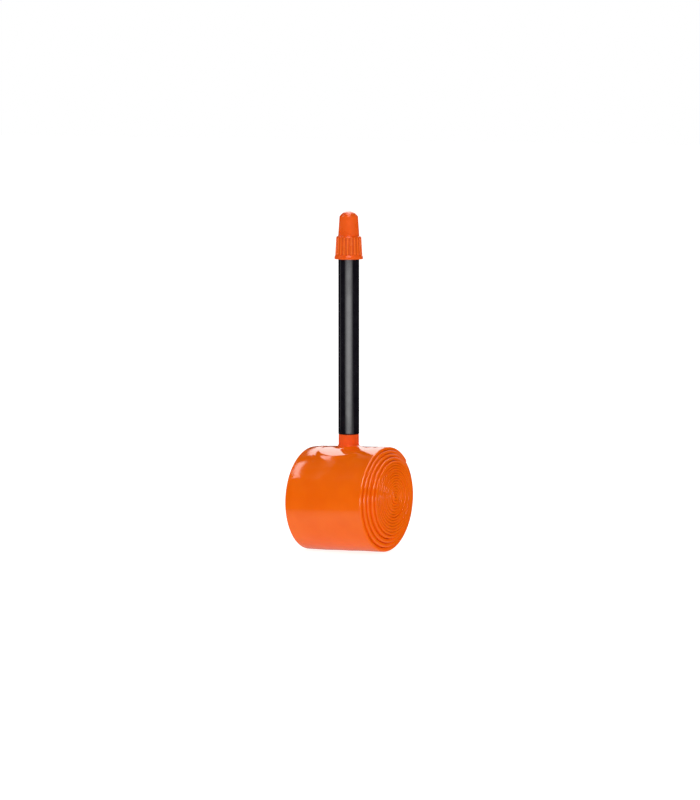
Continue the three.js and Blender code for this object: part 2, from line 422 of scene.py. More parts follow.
@dataclass(frozen=True)
class SealRubber(Finish):
    """Moulded EPDM rubber: nearly black and matt, with a faint bloom."""

    light: str = "2A2A2B"
    deep: str = "161617"
    bloom: float = 0.8
    bloom_depth: float = 0.004

    def shader(self, tree: bpy.types.NodeTree) -> bpy.types.Node:
        """Builds the rubber's shader.

        Args:
            tree: The material's empty node tree.

        Returns:
            The shader node.
        """
        place = add_node(tree, "ShaderNodeTexCoord").outputs["Object"]
        cloud = {"Vector": place, "Scale": per_metre(self.bloom)}
        bloom = add_node(tree, "ShaderNodeTexNoise", None, cloud).outputs[0]
        gloss = {0: bloom, 1: 0.3, 2: 0.7, 3: 0.7, 4: 0.9}
        relief = {"Height": bloom, "Distance": self.bloom_depth * MM}
        return add_node(
            tree,
            "ShaderNodeBsdfPrincipled",
            None,
            {
                "Base Color": cloudy_colour(tree, bloom, self.deep, self.light),
                "Roughness": add_node(tree, "ShaderNodeMapRange", None, gloss).outputs[0],
                "IOR": 1.52,
                "Normal": add_node(tree, "ShaderNodeBump", None, relief).outputs[0],
            },
        )


@dataclass(frozen=True)
class PaperSweep(Finish):
    """Matt white paper under even light, with a faint tooth."""

    light: str = "BEBEBE"
    deep: str = "B8B8B8"
    tooth: float = 1.2
    glow: float = 0.85
    bounce: float = 0.72

    def shader(self, tree: bpy.types.NodeTree) -> bpy.types.Node:
        """Builds the paper's shader. It glows more to the eye than it lights the object.

        Args:
            tree: The material's empty node tree.

        Returns:
            The shader node.
        """
        place = add_node(tree, "ShaderNodeTexCoord").outputs["Object"]
        cloud = {"Vector": place, "Scale": per_metre(self.tooth)}
        tooth = add_node(tree, "ShaderNodeTexNoise", None, cloud).outputs[0]
        tones = {0: tooth, 6: linear(self.deep), 7: linear(self.light)}
        seen = add_node(tree, "ShaderNodeLightPath").outputs["Is Camera Ray"]
        glow = {0: seen, 1: 0.0, 2: 1.0, 3: self.bounce, 4: self.glow}
        return add_node(
            tree,
            "ShaderNodeBsdfPrincipled",
            None,
            {
                "Base Color": add_node(
                    tree, "ShaderNodeMix", {"data_type": "RGBA"}, tones
                ).outputs[2],
                "Roughness": 0.95,
                "Specular IOR Level": 0.0,
                "Emission Color": (1, 1, 1, 1),
                "Emission Strength": add_node(tree, "ShaderNodeMapRange", None, glow).outputs[0],
            },
        )


FILM = BlownFilm("glossy_orange_tpu_film")
NECK_TPU = Moulding("moulded_orange_tpu", "F05508", "EA5105", 0.45, specular=0.2, subsurface=0.1)
# The cap's plastic, with painted highlights on its flute crests and painted shade in its grooves.
CAP_PLASTIC = FlutedPlasticWithPaintedLight(
    "moulded_orange_polypropylene_painted_flute_light", "EA5700", "E45100", 0.28, specular=0.34, subsurface=0.04
)
STEM_NYLON = Moulding("moulded_black_nylon", "151319", "0F0D13", 0.13, grain_depth=0.0006)
NICKEL = TurnedMetal("nickel_plated_brass", "D2CEC6", "B9B4AA", 0.24)
BRASS = TurnedMetal("turned_brass", "D8B36A", "BE954A", 0.28)
RUBBER = SealRubber("black_epdm_rubber")
PAPER = PaperSweep("matt_white_paper")


# ---------------------------------------------------------------------------------------------
# Workbench: modelling by operators
# ---------------------------------------------------------------------------------------------
def activate(piece: bpy.types.Object) -> None:
    """Selects one object alone and makes it the active one.

    Args:
        piece: The object.
    """
    bpy.ops.object.select_all(action="DESELECT")
    piece.select_set(True)
    bpy.context.view_layer.objects.active = piece


def edit(piece: bpy.types.Object) -> None:
    """Opens a piece in edit mode with everything in it selected.

    Args:
        piece: The object.
    """
    activate(piece)
    bpy.ops.object.mode_set(mode="EDIT")
    bpy.ops.mesh.select_mode(type="FACE")
    bpy.ops.mesh.select_all(action="SELECT")


def close_edit() -> None:
    """Leaves edit mode."""
    bpy.ops.object.mode_set(mode="OBJECT")


def turned(name: str, profile: Sequence[Point], segments: int = 96) -> bpy.types.Object:
    """Turns a piece about Z: a circle is extruded and resized from ring to ring.

    Args:
        name: The piece's name.
        profile: [radius, height] points in order. Where the last is the first again the piece is
            bored through, and otherwise both ends are closed by a face.
        segments: Number of sides.

    Returns:
        The new object.
    """
    bored = profile[0] == profile[-1]
    radius, height = profile[0]
    bpy.ops.object.select_all(action="DESELECT")
    bpy.ops.mesh.primitive_circle_add(
        vertices=segments,
        radius=radius * MM,
        fill_type="NOTHING" if bored else "NGON",
        location=(0, 0, height * MM),
    )
    piece = bpy.context.object
    piece.name = piece.data.name = name
    bpy.ops.object.transform_apply(location=True, rotation=False, scale=False)
    bpy.ops.object.mode_set(mode="EDIT")
    bpy.ops.mesh.select_mode(type="EDGE" if bored else "FACE")
    bpy.ops.mesh.select_all(action="SELECT")
    for (radius, height), (next_radius, next_height) in pairwise(profile):
        rise = (next_height - height) * MM
        bpy.ops.mesh.extrude_region_move(TRANSFORM_OT_translate={"value": (0, 0, rise)})
        ratio = next_radius / radius
        centre = (0, 0, next_height * MM)
        bpy.ops.transform.resize(value=(ratio, ratio, 1), center_override=centre)
    bpy.ops.mesh.select_all(action="SELECT")
    bpy.ops.mesh.remove_doubles(threshold=1e-7)
    bpy.ops.mesh.normals_make_consistent(inside=False)
    close_edit()
    return piece


def select_faces(piece: bpy.types.Object, wanted: Callable[[Vector, Vector], bool]) -> None:
    """Opens a piece in edit mode with only some faces selected.

    Args:
        piece: The object.
        wanted: Told a face's centre in millimetres and its normal, says whether it is wanted.
    """
    edit(piece)
    bpy.ops.mesh.select_all(action="DESELECT")
    close_edit()
    for face in piece.data.polygons:
        face.select = wanted(face.center / MM, face.normal)
    bpy.ops.object.mode_set(mode="EDIT")


def flute(
    piece: bpy.types.Object, band: Point, count: int, share: float, wall: float, depth: float
) -> None:
    """Sinks upright grooves into a round wall.

    Args:
        piece: The object, turned with a multiple of count sides.
        band: Lowest and highest height of the wall, in millimetres.
        count: Number of grooves.
        share: Share of the wall that is groove.
        wall: Width of a groove's sloped side, in millimetres.
        depth: Depth of a groove, in millimetres.
    """

    def in_groove(centre: Vector, normal: Vector) -> bool:
        """Says whether a face lies in a groove.

        Args:
            centre: The face's centre in millimetres.
            normal: Its outward normal.

        Returns:
            Whether it does.
        """
        phase = (math.atan2(centre.y, centre.x) / (2 * math.pi) * count) % 1
        upright = abs(normal.z) < 0.5 and normal.x * centre.x + normal.y * centre.y > 0
        return upright and band[0] < centre.z < band[1] and abs(phase - 0.5) < share / 2

    select_faces(piece, in_groove)
    bpy.ops.mesh.inset(thickness=wall * MM, depth=-depth * MM)
    close_edit()


def apply_modifier(piece: bpy.types.Object, kind: str, **settings: Any) -> None:
    """Adds a modifier to a piece and applies it.

    Args:
        piece: The object.
        kind: The modifier's type.
        **settings: The modifier's attributes.
    """
    activate(piece)
    modifier = piece.modifiers.new(kind.lower(), kind)
    for name, value in settings.items():
        setattr(modifier, name, value)
    bpy.ops.object.modifier_apply(modifier=modifier.name)


def soften(piece: bpy.types.Object, width: float, segments: int = 2, angle: float = 30) -> None:
    """Rounds a piece's edges.

    Args:
        piece: The object.
        width: Width of the rounding in millimetres.
        segments: Faces across the rounding.
        angle: Edges that turn by more than this many degrees are rounded.
    """
    apply_modifier(
        piece,
        "BEVEL",
        width=width * MM,
        segments=segments,
        limit_method="ANGLE",
        angle_limit=math.radians(angle),
        use_clamp_overlap=True,
    )


def shade(piece: bpy.types.Object, angle: float = 35) -> None:
    """Shades a piece smooth, apart from edges sharper than an angle in degrees."""
    activate(piece)
    bpy.ops.object.shade_smooth_by_angle(angle=math.radians(angle))


def thread_ridge(
    radius: float, depth: float, pitch: float, start: float, turns: int, segments: int = 48
) -> bpy.types.Object:
    """Winds a screw thread's ridge about Z.

    Args:
        radius: Radius of the wall that carries the ridge, in millimetres.
        depth: How far the ridge stands out of it, negative for an inner thread.
        pitch: Rise per turn in millimetres.
        start: Height at which the ridge starts.
        turns: Number of turns.
        segments: Sides per turn.

    Returns:
        The ridge's object.
    """
    half_width = RIDGE_HALF_WIDTH * pitch
    middle = (radius * MM, 0, start * MM)
    bpy.ops.object.select_all(action="DESELECT")
    bpy.ops.mesh.primitive_circle_add(
        vertices=4,
        radius=half_width * MM,
        location=middle,
        rotation=(math.pi / 2, math.pi / 4, 0),
    )
    ridge = bpy.context.object
    ridge.name = ridge.data.name = "thread_ridge"
    bpy.ops.object.transform_apply(location=True, rotation=True, scale=False)
    edit(ridge)
    ratio = abs(depth) / half_width
    bpy.ops.transform.rotate(value=math.pi / 4, orient_axis="Y", center_override=middle)
    bpy.ops.transform.resize(value=(ratio, 1, 1), center_override=middle)
    close_edit()
    apply_modifier(
        ridge,
        "SCREW",
        axis="Z",
        angle=2 * math.pi,
        screw_offset=pitch * MM,
        iterations=turns,
        steps=segments,
        render_steps=segments,
        use_smooth_shade=False,
    )
    edit(ridge)
    bpy.ops.mesh.remove_doubles(threshold=1e-8)
    bpy.ops.mesh.fill_holes(sides=0)
    bpy.ops.mesh.select_all(action="SELECT")
    bpy.ops.mesh.normals_make_consistent(inside=False)
    close_edit()
    return ridge


def join(piece: bpy.types.Object, *others: bpy.types.Object) -> None:
    """Joins other objects into a piece.

    Args:
        piece: The object that takes them.
        *others: The objects that become part of it.
    """
    activate(piece)
    for other in others:
        other.select_set(True)
    bpy.ops.object.join()


def dress(piece: bpy.types.Object, finish: Finish) -> None:
    """Gives a piece one finish all over."""
    piece.data.materials.clear()
    piece.data.materials.append(finish.material())


def dress_node(node: str, finish: Finish) -> None:
    """Gives a kept CAD node a finish in each of its material slots."""
    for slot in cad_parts[node].material_slots:
        slot.material = finish.material()


def place(piece: bpy.types.Object, body: Body, slot: Slot, *replaced: str) -> None:
    """Fixes a finished piece to its body.

    Args:
        piece: The object.
        body: The body that it moves with.
        slot: The record's slot of its finish; not used.
        *replaced: CAD nodes that it stands for.
    """
    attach(piece, body.value)
    if replaced:
        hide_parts(*replaced)
    LOG.info("%s: %d faces on %s", piece.name, len(piece.data.polygons), body.value)


def height_span(node: str) -> Point:
    """Gives a CAD node's lowest and highest point in millimetres."""
    low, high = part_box(node)
    return low[2] / MM, high[2] / MM


# ---------------------------------------------------------------------------------------------
# The rolled tube
# ---------------------------------------------------------------------------------------------
@dataclass(frozen=True)
class Crease:
    """A soft crease in the outer film, near the valve and across the roll's width."""

    place: float
    lean: float
    depth: float
    width: float = 0.4
    reach: float = 8.0

    def dip(self, across: float, arc: float) -> float:
        """Gives how deep the crease is at a point of the film."""
        aside = (across - self.place - self.lean * arc) / self.width
        return self.depth * math.exp(-(aside**2) - (arc / self.reach) ** 2)


@dataclass
class RolledTube:
    """The flat tube, folded double and wound from its outer folded end in to its core.

    A place on the tape is given by its turn, counted from the outer end, its depth below the
    turn's outer surface, and its place across the width. Lengths are millimetres. The film over
    the valve's flange is drawn flatter than the roll, and stands up in a small tent round the
    neck. The turns wander by waves, each [length, radians per turn], and by noise.
    """

    width: float = 25.3
    radius: float = 15.42
    axis_height: float = 14.77
    oval: float = 1.03
    loose_turns: int = 4
    loose_pitch: float = 1.15
    tight_turns: int = 12
    tight_pitch: float = 0.78
    turn_gap: float = 0.05
    tail: float = 48 / 360
    core_rise: float = 1.2
    outer_telescope: float = 2.6
    inner_telescope: float = 0.6
    wander_waves: tuple[Point, ...] = ((0.06, 2 * math.pi * 0.73), (0.05, 2.1))
    wander_noise: float = 0.12
    wander_rate: float = 4.3
    wander_layer: Point = (0.3, 7.7)
    climb: float = 0.035
    wrap_turns: float = 1.12
    wrap_steps: int = 200
    loose_steps: int = 84
    tight_steps: int = 54
    end_round: float = 0.5
    curl: float = 0.5
    curl_reach: float = 5.0
    curl_below: float = 0.2
    curl_swing: float = 0.4
    tent: float = 0.5
    tent_reach: float = 0.5
    neck_radius: float = 2.93
    flattened_radius: float = 9.2
    flattened_bend: float = 20.0
    flattened_sink: float = 0.1
    flattened_edge: float = 0.9
    creases: tuple[Crease, ...] = (
        Crease(-7.8, 0.1, 0.05),
        Crease(6.1, -0.12, 0.04),
        Crease(8.8, 0.08, 0.04),
    )
    loose_bead: float = 0.8
    tight_bead: float = 0.55
    bead_groove: float = 0.04
    bead_groove_share: float = 0.07
    core_turns: float = 1.25
    ripple: float = 0.08
    ripple_size: Point = (5.0, 9.0)
    ripple_layer: float = 3.7
    across: int = 84
    crowding: float = 0.35

    def turn_radius(self, turn: float) -> float:
        """Gives the outer radius of the tape at a turn.

        Args:
            turn: Turns from the outer end.

        Returns:
            The radius in millimetres.
        """
        loose = min(turn, self.loose_turns) * self.loose_pitch
        tight = max(turn - self.loose_turns, 0) * self.tight_pitch
        return self.radius + self.loose_pitch * self.tail - loose - tight

    def thickness(self, turn: float) -> float:
        """Gives the tape's thickness at a turn."""
        return self.turn_radius(turn) - self.turn_radius(turn + 1) - self.turn_gap

    def telescope(self, turn: float) -> float:
        """Gives how far the tape has slid out along the axis at a turn. It wanders a little, so
        that no two turns lie alike.

        Args:
            turn: Turns from the outer end.

        Returns:
            The slide towards +X in millimetres.
        """
        inward = max(self.radius - self.turn_radius(turn), 0)
        loose_depth = self.loose_turns * self.loose_pitch
        outer = min(inward / loose_depth, 1)
        inner = max(inward - loose_depth, 0) / (self.radius - loose_depth)
        wander = sum(size * math.sin(rate * turn) for size, rate in self.wander_waves)
        place_in_noise = Vector((turn * self.wander_rate, *self.wander_layer))
        wander += self.wander_noise * noise.noise(place_in_noise) * inner
        slid = self.outer_telescope * outer + self.inner_telescope * inner
        return slid + wander * min(turn, 1)

    def relief(self, across: float, turn: float) -> float:
        """Gives how far the outer film stands proud of a plain roll.

        Args:
            across: Place along X from the valve's axis.
            turn: Place round the roll, in turns from the outer end.

        Returns:
            Height in millimetres.
        """
        arc = (turn - self.tail) * 2 * math.pi * self.radius
        reach = math.hypot(across, arc)
        tent = self.tent * math.exp(-max(reach - self.neck_radius, 0) / self.tent_reach)
        edge = (reach - self.flattened_radius) / self.flattened_edge
        flatter = arc**2 / 2 * (1 / self.radius - 1 / self.flattened_bend) - self.flattened_sink
        flattened = flatter / (1 + math.exp(min(4 * edge, 50)))
        wide, long = self.ripple_size
        place_in_noise = Vector((across / wide, arc / long, self.ripple_layer))
        rippled = self.ripple * noise.noise(place_in_noise)
        creased = sum(crease.dip(across, arc) for crease in self.creases)
        return tent + flattened + rippled - creased

    def spot(self, turn: float, depth: float, across: float, share: float) -> tuple[float, ...]:
        """Gives the place of a point of the tape.

        Args:
            turn: Turns from the outer end.
            depth: Depth below the outer surface.
            across: Place across the width, from the tape's middle.
            share: 1 where the outer film's relief shows in full, 0 where it doesn't.

        Returns:
            X, Y and Z in metres.
        """
        angle = 2 * math.pi * (turn - self.tail)
        slid = self.telescope(turn)
        radius = self.turn_radius(turn) - depth
        from_left = across + self.width / 2
        overhang = max(1 - from_left / self.curl_reach, 0)
        loose = max(1 - turn / (self.loose_turns + 1), 0)
        drawn_in = self.curl_below + self.curl_swing * (1 + math.cos(angle))
        radius -= self.curl * overhang**2 * loose * drawn_in
        if share:
            radius += share * self.relief(across + slid, turn)
        x = across + slid
        lift = self.core_rise * (1 - min(radius / self.radius, 1) ** 2)
        z = self.axis_height + lift + radius * math.cos(angle) + self.climb * x
        return x * MM, -self.oval * radius * math.sin(angle) * MM, max(z, 0) * MM

    def edge(self, turn: float) -> list[Point]:
        """Gives the section of the tape's folded edge.

        Args:
            turn: Turns from the outer end.

        Returns:
            [share of the thickness, distance in from the widest point] from the outer surface to
            the inner one.
        """
        bead = self.thickness(turn) / 2
        fullness = self.loose_bead if turn < self.loose_turns else self.tight_bead
        shares = (0, 0.02, 0.07, 0.15, 0.27, 0.41, 0.5, 0.59, 0.73, 0.85, 0.93, 0.98, 1)
        points = []
        for share in shares:
            drop = 1 - math.sqrt(max(1 - (2 * share - 1) ** 2, 0))
            off_middle = (share - 0.5) / self.bead_groove_share
            groove = self.bead_groove * math.exp(-(off_middle**2))
            points.append((share, (bead * drop + groove) * fullness))
        return points

    def section(self, turn: float, swell: float, spots: Sequence[float]) -> list[tuple[float, ...]]:
        """Gives one closed section of the tape.

        Args:
            turn: Turns from the outer end.
            swell: Share of the full thickness, less than 1 at the rounded folded ends.
            spots: Places across the outer surface, as shares from -1 to 1.

        Returns:
            The section's points.
        """
        thick = self.thickness(turn)
        edge = self.edge(turn)
        half = self.width / 2
        flat_half = half - edge[0][1]

        def at(share: float, across: float) -> tuple[float, ...]:
            """Gives the point at a share of the thickness."""
            depth = thick * (0.5 + (share - 0.5) * swell)
            return self.spot(turn, depth, across, 1 - share if turn < self.wrap_turns else 0)

        ring = [at(0, flat_half * s) for s in spots]
        ring += [at(share, half - inset) for share, inset in edge]
        ring += [at(1, flat_half * s) for s in (0.75, 0.45, 0.15, -0.15, -0.45, -0.75)]
        ring += [at(share, inset - half) for share, inset in reversed(edge)]
        return ring

    def stretch(self, stations: Sequence[Point], spots: Sequence[float]) -> tuple[list, list]:
        """Sweeps the section through a stretch of tape.

        Args:
            stations: [turn, swell] of each section.
            spots: Places across the outer surface.

        Returns:
            Points and faces.
        """
        rings = [self.section(turn, swell, spots) for turn, swell in stations]
        size = len(rings[0])
        points = [point for ring in rings for point in ring]
        faces = []
        for i in range(len(rings) - 1):
            low, high = i * size, (i + 1) * size
            for j in range(size):
                k = (j + 1) % size
                faces.append((low + j, low + k, high + k, high + j))
        faces.append(tuple(range(size - 1, -1, -1)))
        faces.append(tuple(range(len(points) - size, len(points))))
        return points, faces

    def rounded_end(self, turn: float, sign: int) -> list[Point]:
        """Gives the stations that round off a folded end.

        Args:
            turn: The turn at which the end lies.
            sign: 1 for the outer end and -1 for the one in the core.

        Returns:
            [turn, swell] from the end inwards.
        """
        per_turn = 2 * math.pi * max(self.turn_radius(turn), 1.5)
        steps = []
        for share in (0.0, 0.04, 0.15, 0.32, 0.55, 0.8):
            swell = max(math.sqrt(1 - (1 - share) ** 2), 0.05)
            steps.append((turn + sign * share * self.end_round / per_turn, swell))
        return steps

    def build(self) -> None:
        """Builds the roll: a fine stretch for the outer wrap and a coarser one inside it."""
        last = self.loose_turns + self.tight_turns + self.core_turns
        first = self.end_round / (2 * math.pi * self.radius)
        count = round(self.wrap_turns * self.wrap_steps)
        wrap = self.rounded_end(0, 1)
        wrap += [(first + (self.wrap_turns - first) * i / count, 1.0) for i in range(count + 1)]
        inner = []
        turn = self.wrap_turns
        while turn < last - 0.02:
            inner.append((turn, 1.0))
            turn += 1 / (self.loose_steps if turn < self.loose_turns + 1 else self.tight_steps)
        inner += list(reversed(self.rounded_end(last, -1)))
        fine = [
            math.sin(math.pi / 2 * s) * self.crowding + s * (1 - self.crowding)
            for s in self.evenly(self.across)
        ]
        points, faces = self.stretch(wrap, fine)
        more_points, more_faces = self.stretch(inner, self.evenly(4))
        offset = len(points)
        points += more_points
        faces += [tuple(offset + i for i in face) for face in more_faces]
        mesh = bpy.data.meshes.new("rolled_tube")
        mesh.from_pydata(points, [], faces)
        roll = bpy.data.objects.new("rolled_tube", mesh)
        bpy.context.scene.collection.objects.link(roll)
        edit(roll)
        bpy.ops.mesh.normals_make_consistent(inside=False)
        close_edit()
        shade(roll, 60)
        dress(roll, FILM)
        place(roll, Body.TUBE, Slot.FILM, "tube_roll")

    @staticmethod
    def evenly(count: int) -> list[float]:
        """Gives a number of places between -1 and 1, short of both."""
        return [(2 * i + 1) / count - 1 for i in range(count)]


# ---------------------------------------------------------------------------------------------
# The valve
# ---------------------------------------------------------------------------------------------
@dataclass
class ValveNeck:
    """The orange neck that is welded into the film and holds the stem."""

    radius: float = 2.93
    spread: float = 0.2
    skirt: float = 0.4
    sunk: float = 0.7
    bore: float = 2.25
    flare_power: float = 1.3
    flare_steps: int = 8

    def build(self) -> None:
        """Builds the neck with its flared foot."""
        film = height_span("tube_roll")[1]
        top = height_span("valve_foot")[1]
        profile = [(self.bore, film - self.sunk), (self.radius + self.spread, film - self.sunk)]
        for i in range(self.flare_steps + 1):
            share = i / self.flare_steps
            flare = self.spread * (1 - math.sin(share * math.pi / 2)) ** self.flare_power
            profile.append((self.radius + flare, film - 0.1 + self.skirt * share))
        profile += [(self.radius - 0.01, top - 0.2), (self.radius - 0.02, top - 0.1)]
        profile += [(self.radius - 0.08, top), (self.bore, top), profile[0]]
        neck = turned("valve_neck", profile, 96)
        shade(neck, 40)
        dress(neck, NECK_TPU)
        place(neck, Body.TUBE, Slot.MOULDING, "valve_foot")


@dataclass
class ValveStem:
    """The smooth black stem with the spigot that the neck holds."""

    radius: float = 3.0
    bore: float = 2.4
    spigot: float = 2.2
    spigot_wall: float = 0.7
    rounding: float = 0.18
    support: float = 0.35

    def build(self) -> None:
        """Builds the stem."""
        bottom, top = height_span("valve_stem")
        shoulder = height_span("valve_foot")[1] + 0.03
        inner = self.spigot - self.spigot_wall
        insert_bottom = height_span("stem_insert")[0] - 0.1
        profile = [
            (inner, bottom),
            (self.spigot, bottom),
            (self.spigot, shoulder),
            (self.radius, shoulder),
            (self.radius, shoulder + self.support),
            (self.radius, top - self.support),
            (self.radius, top),
            (self.bore, top),
            (self.bore, insert_bottom),
            (inner, insert_bottom),
            (inner, bottom),
        ]
        stem = turned("valve_stem_tube", profile, 128)
        soften(stem, self.rounding, 3)
        shade(stem)
        dress(stem, STEM_NYLON)
        place(stem, Body.TUBE, Slot.STEM, "valve_stem")


@dataclass
class ThreadedInsert:
    """The plated sleeve in the stem's top, with the screw thread that carries the cap."""

    sleeve: float = 2.3
    root: float = 2.38
    crest: float = 2.6
    bore: float = 1.8
    seat: float = 1.4
    pitch: float = 0.9
    seat_depth: float = 4.2

    def build(self) -> None:
        """Builds the insert."""
        bottom, top = height_span("stem_insert")
        stem_top = height_span("valve_stem")[1]
        profile = [
            (self.seat, bottom),
            (self.sleeve, bottom),
            (self.sleeve, stem_top + 0.1),
            (self.root, stem_top + 0.15),
            (self.root, top - 0.15),
            (self.root - 0.15, top),
            (self.bore, top),
            (self.bore, top - self.seat_depth),
            (self.seat, top - self.seat_depth),
            (self.seat, bottom),
        ]
        insert = turned("threaded_insert", profile, 64)
        start = stem_top + 0.62
        turns = int((top - start - 0.35) / self.pitch)
        ridge = thread_ridge(self.root, self.crest - self.root, self.pitch, start, turns)
        join(insert, ridge)
        shade(insert)
        dress(insert, NICKEL)
        place(insert, Body.TUBE, Slot.INSERT, "stem_insert")


@dataclass
class ValveCore:
    """The removable core: its head, pin and lock nut are modelled in full, and the seals that
    lie inside the stem keep their CAD shape."""

    head: float = 1.95
    flat: float = 0.3
    flat_rise: float = 0.35
    flat_height: float = 3.0
    barrel: float = 1.2
    screwed: float = 1.7
    bore: float = 0.85
    head_height: float = 1.9
    pin_shank: float = 0.55
    pin_root: float = 0.64
    pin_crest: float = 0.72
    pin_tip: float = 0.9
    pin_pitch: float = 0.36
    nut: float = 1.95
    nut_waist: float = 1.78
    notches: int = 16
    seals: tuple[str, ...] = ("core_gasket", "pin_seal")

    def build_head(self) -> None:
        """Builds the core's body, with two spanner flats on its head."""
        bottom, top = height_span("core_body")
        shoulder = height_span("core_gasket")[1] + 0.05
        head_bottom = top - self.head_height
        profile = [
            (self.bore, bottom),
            (self.barrel, bottom),
            (self.barrel, shoulder),
            (self.screwed, shoulder),
            (self.screwed, head_bottom),
            (self.head - 0.12, head_bottom),
            (self.head, head_bottom + 0.12),
            (self.head, top - 0.35),
            (self.head - 0.45, top),
            (self.bore, top),
            (self.bore, bottom),
        ]
        body = turned("core_head", profile, 64)
        middle = head_bottom + self.flat_rise + self.flat_height / 2
        for side in (-1, 1):
            offset = side * (1.5 * self.head - self.flat)
            bpy.ops.object.select_all(action="DESELECT")
            bpy.ops.mesh.primitive_cube_add(
                size=1,
                location=(offset * MM, 0, middle * MM),
                scale=(self.head * MM, 3 * self.head * MM, self.flat_height * MM),
            )
            cutter = bpy.context.object
            apply_modifier(body, "BOOLEAN", object=cutter, operation="DIFFERENCE", solver="EXACT")
            bpy.data.objects.remove(cutter)
        shade(body, 30)
        dress(body, BRASS)
        place(body, Body.TUBE, Slot.CORE, "core_body")

    def build_pin(self) -> None:
        """Builds the pin with its screw thread and peened tip."""
        bottom, top = height_span("core_pin")
        head_top = height_span("core_body")[1]
        thread_bottom = head_top - self.head_height
        profile = [
            (self.pin_shank - 0.1, bottom),
            (self.pin_shank, bottom + 0.1),
            (self.pin_shank, thread_bottom),
            (self.pin_root, thread_bottom + 0.1),
            (self.pin_root, top - 0.3),
            (self.pin_tip, top - 0.22),
            (self.pin_tip, top - 0.08),
            (self.pin_tip - 0.2, top),
        ]
        pin = turned("core_pin_rod", profile, 48)
        start = head_top - 1.5
        turns = int((top - 0.45 - start) / self.pin_pitch)
        depth = self.pin_crest - self.pin_root
        join(pin, thread_ridge(self.pin_root, depth, self.pin_pitch, start, turns, 32))
        shade(pin)
        dress(pin, BRASS)
        place(pin, Body.PIN, Slot.CORE, "core_pin")

    def build_nut(self) -> None:
        """Builds the lock nut, notched all round for the fingers."""
        bottom, top = height_span("lock_nut")
        bore = self.pin_crest + 0.1
        waist = bottom + 0.45
        profile = [
            (bore, bottom),
            (self.nut - 0.25, bottom),
            (self.nut_waist, bottom + 0.12),
            (self.nut_waist, waist - 0.08),
            (self.nut, waist),
            (self.nut, top - 0.18),
            (self.nut - 0.18, top),
            (bore + 0.12, top),
            (bore, top - 0.12),
            (bore, bottom),
        ]
        nut = turned("lock_nut_knurled", profile, self.notches * 6)
        flute(nut, (waist, top - 0.18), self.notches, 0.5, 0.04, 0.14)
        shade(nut, 30)
        dress(nut, NICKEL)
        place(nut, Body.NUT, Slot.INSERT, "lock_nut")

    def build(self) -> None:
        """Builds the core's pieces and dresses the seals and cup kept from the CAD."""
        self.build_head()
        self.build_pin()
        self.build_nut()
        for seal in self.seals:
            dress_node(seal, RUBBER)
        dress_node("seal_cup", BRASS)


@dataclass
class DustCap:
    """The orange cap: dome, tapered crown, fluted skirt and rim flange. Heights are measured
    from the cap's rim."""

    flange: float = 4.1
    flange_height: float = 1.05
    skirt_bottom: float = 3.9
    skirt_top: float = 3.6
    skirt_height: float = 5.5
    crown_bottom: float = 3.04
    crown_top: float = 2.66
    dome: float = 1.47
    dome_start: float = 33.0
    dome_steps: int = 14
    flutes: int = 22
    flute_share: float = 0.7
    flute_wall: float = 0.1
    flute_depth: float = 0.28
    bore: float = 3.15
    thread_bore: float = 2.78
    thread_pitch: float = 0.9
    thread_depth: float = 0.12
    chamber: float = 2.2

    def build(self) -> None:
        """Builds the cap."""
        rim, top = height_span("valve_cap")
        stem_top = height_span("valve_stem")[1]
        head_bottom = height_span("stem_insert")[1] + 0.1
        pin_top = height_span("core_pin")[1]
        nut_top = height_span("lock_nut")[1]
        skirt_low = rim + self.flange_height
        skirt_high = skirt_low + self.skirt_height
        crown_high = top - self.dome
        profile = [
            (1.0, pin_top + 0.3),
            (self.chamber, nut_top + 1.3),
            (self.chamber, head_bottom),
            (self.thread_bore, head_bottom - 0.05),
            (self.thread_bore, stem_top + 0.3),
            (self.bore, stem_top + 0.12),
            (self.bore, rim + 0.3),
            (self.bore + 0.25, rim),
            (self.flange - 0.1, rim),
            (self.flange, rim + 0.1),
            (self.flange, skirt_low - 0.4),
            (self.flange - 0.1, skirt_low - 0.22),
            (self.skirt_bottom, skirt_low),
            (self.skirt_bottom - 0.01, skirt_low + 0.12),
            (self.skirt_top + 0.01, skirt_high - 0.26),
            (self.skirt_top - 0.22, skirt_high),
            (self.crown_bottom + 0.12, skirt_high + 0.04),
            (self.crown_bottom, skirt_high + 0.16),
            (self.crown_bottom - 0.01, skirt_high + 0.3),
            (self.crown_top + 0.01, crown_high - 0.12),
            (self.crown_top, crown_high),
        ]
        first = math.radians(self.dome_start)
        for i in range(1, self.dome_steps + 1):
            angle = first + (math.pi / 2 - first) * i / self.dome_steps
            share = (math.sin(angle) - math.sin(first)) / (1 - math.sin(first))
            radius = self.crown_top * math.cos(angle) / math.cos(first)
            profile.append((max(radius, 0.1), crown_high + self.dome * share))
        cap = turned("dust_cap", profile, self.flutes * 8)
        band = (skirt_low + 0.12, skirt_high - 0.26)
        flute(cap, band, self.flutes, self.flute_share, self.flute_wall, self.flute_depth)
        pitch = self.thread_pitch
        turns = int((head_bottom - stem_top - 1.0) / pitch)
        start = stem_top + 0.65
        join(cap, thread_ridge(self.thread_bore, -self.thread_depth, pitch, start, turns))
        shade(cap, 38)
        dress(cap, CAP_PLASTIC)
        place(cap, Body.CAP, Slot.CAP, "valve_cap")


# ---------------------------------------------------------------------------------------------
# The studio
# ---------------------------------------------------------------------------------------------
class LightUse(Enum):
    """What a studio light does."""

    LIGHTS = "lights"
    MIRRORED = "mirrored"


